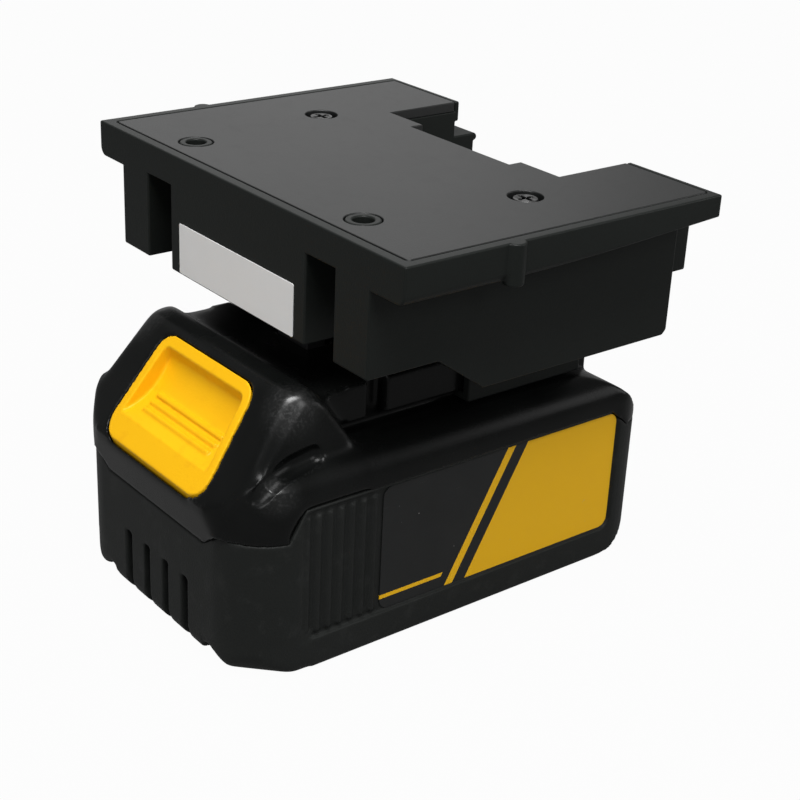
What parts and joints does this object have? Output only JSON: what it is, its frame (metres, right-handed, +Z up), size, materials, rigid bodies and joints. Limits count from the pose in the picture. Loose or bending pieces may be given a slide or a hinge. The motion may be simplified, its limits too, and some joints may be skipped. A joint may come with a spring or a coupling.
{
  "type": "tool battery adapter",
  "caption": "Flanged battery adapter for cordless tools, docked on its slide-in battery pack with a sprung yellow release button; the pack slides out along its rails.",
  "frame": {"origin": "middle of the pack's underside, on the floor, under the middle of the whole object", "axes": "+Z up; the pack slides out towards -Y, where its release button is; +X is to the right seen from -Y"},
  "size_m": [0.1218, 0.122, 0.1016],
  "materials": {
    "adapter_black": "satin, fine moulded grain",
    "cover_black": "satin, lightly dusty",
    "screw_steel": "zinc plated, worn",
    "insulator": "plain moulded",
    "contact_brass": "tinned brass",
    "wire_red": "soft insulation",
    "wire_black": "soft insulation",
    "wire_cream": "soft insulation",
    "sticker_white": "smooth paper film",
    "upper_black": "glossy with scuffs and dust",
    "lower_black": "satin, fine moulded grain",
    "cell_can": "shrink-wrapped can",
    "nickel": "nickel strip",
    "board_green": "solder mask",
    "label_grey": "printed film",
    "lens_smoke": "smoked window",
    "gauge_key": "soft key",
    "button_yellow": "semi-gloss moulded",
    "latch_dark": "plain moulded",
    "spring_steel": "spring wire"
  },
  "bodies": {
    "adapter": {"adapter_housing": "adapter_black", "adapter_cover": "cover_black", "cover_screws": "screw_steel", "contact_carrier": "insulator", "blade_positive": "contact_brass", "blade_negative": "contact_brass", "blades_signal": "contact_brass", "output_block": "insulator", "output_clips": "contact_brass", "wire_positive": "wire_red", "wire_negative": "wire_black", "wires_signal": "wire_cream", "front_sticker": "sticker_white"},
    "pack": {"pack_upper_housing": "upper_black", "pack_lower_housing": "lower_black", "cell_holder_left": "insulator", "cell_holder_right": "insulator", "bus_strips_left": "nickel", "bus_strips_right": "nickel", "control_board": "board_green", "terminal_block": "insulator", "terminal_clips": "contact_brass", "side_label_left": "label_grey", "side_label_right": "label_grey", "housing_screws": "screw_steel", "gauge_lens": "lens_smoke", "gauge_board": "board_green", "latch_springs": "spring_steel", "cell_1": "cell_can", "cell_2": "cell_can", "cell_3": "cell_can", "cell_4": "cell_can", "cell_5": "cell_can", "cell_6": "cell_can", "cell_7": "cell_can", "cell_8": "cell_can", "cell_9": "cell_can", "cell_10": "cell_can"},
    "latch": {"release_button": "button_yellow", "latch_bolt": "latch_dark"},
    "gauge_key": {"gauge_button": "gauge_key"}
  },
  "joints": [
    {"name": "pack_slide", "type": "slide", "parent": "adapter", "child": "pack", "axis": [0, -1, 0], "range_m": [0, 0.034]},
    {"name": "release_press", "type": "slide", "parent": "pack", "child": "latch", "axis": [0, 0.342, -0.9397], "range_m": [0, 0.004], "stiffness_N_per_m": 1000, "springref_m": -0.004, "deforming": ["latch_springs"]},
    {"name": "gauge_press", "type": "slide", "parent": "pack", "child": "gauge_key", "axis": [0, -1, 0], "range_m": [0, 0.0008], "stiffness_N_per_m": 800, "springref_m": -0.0005}
  ]
}
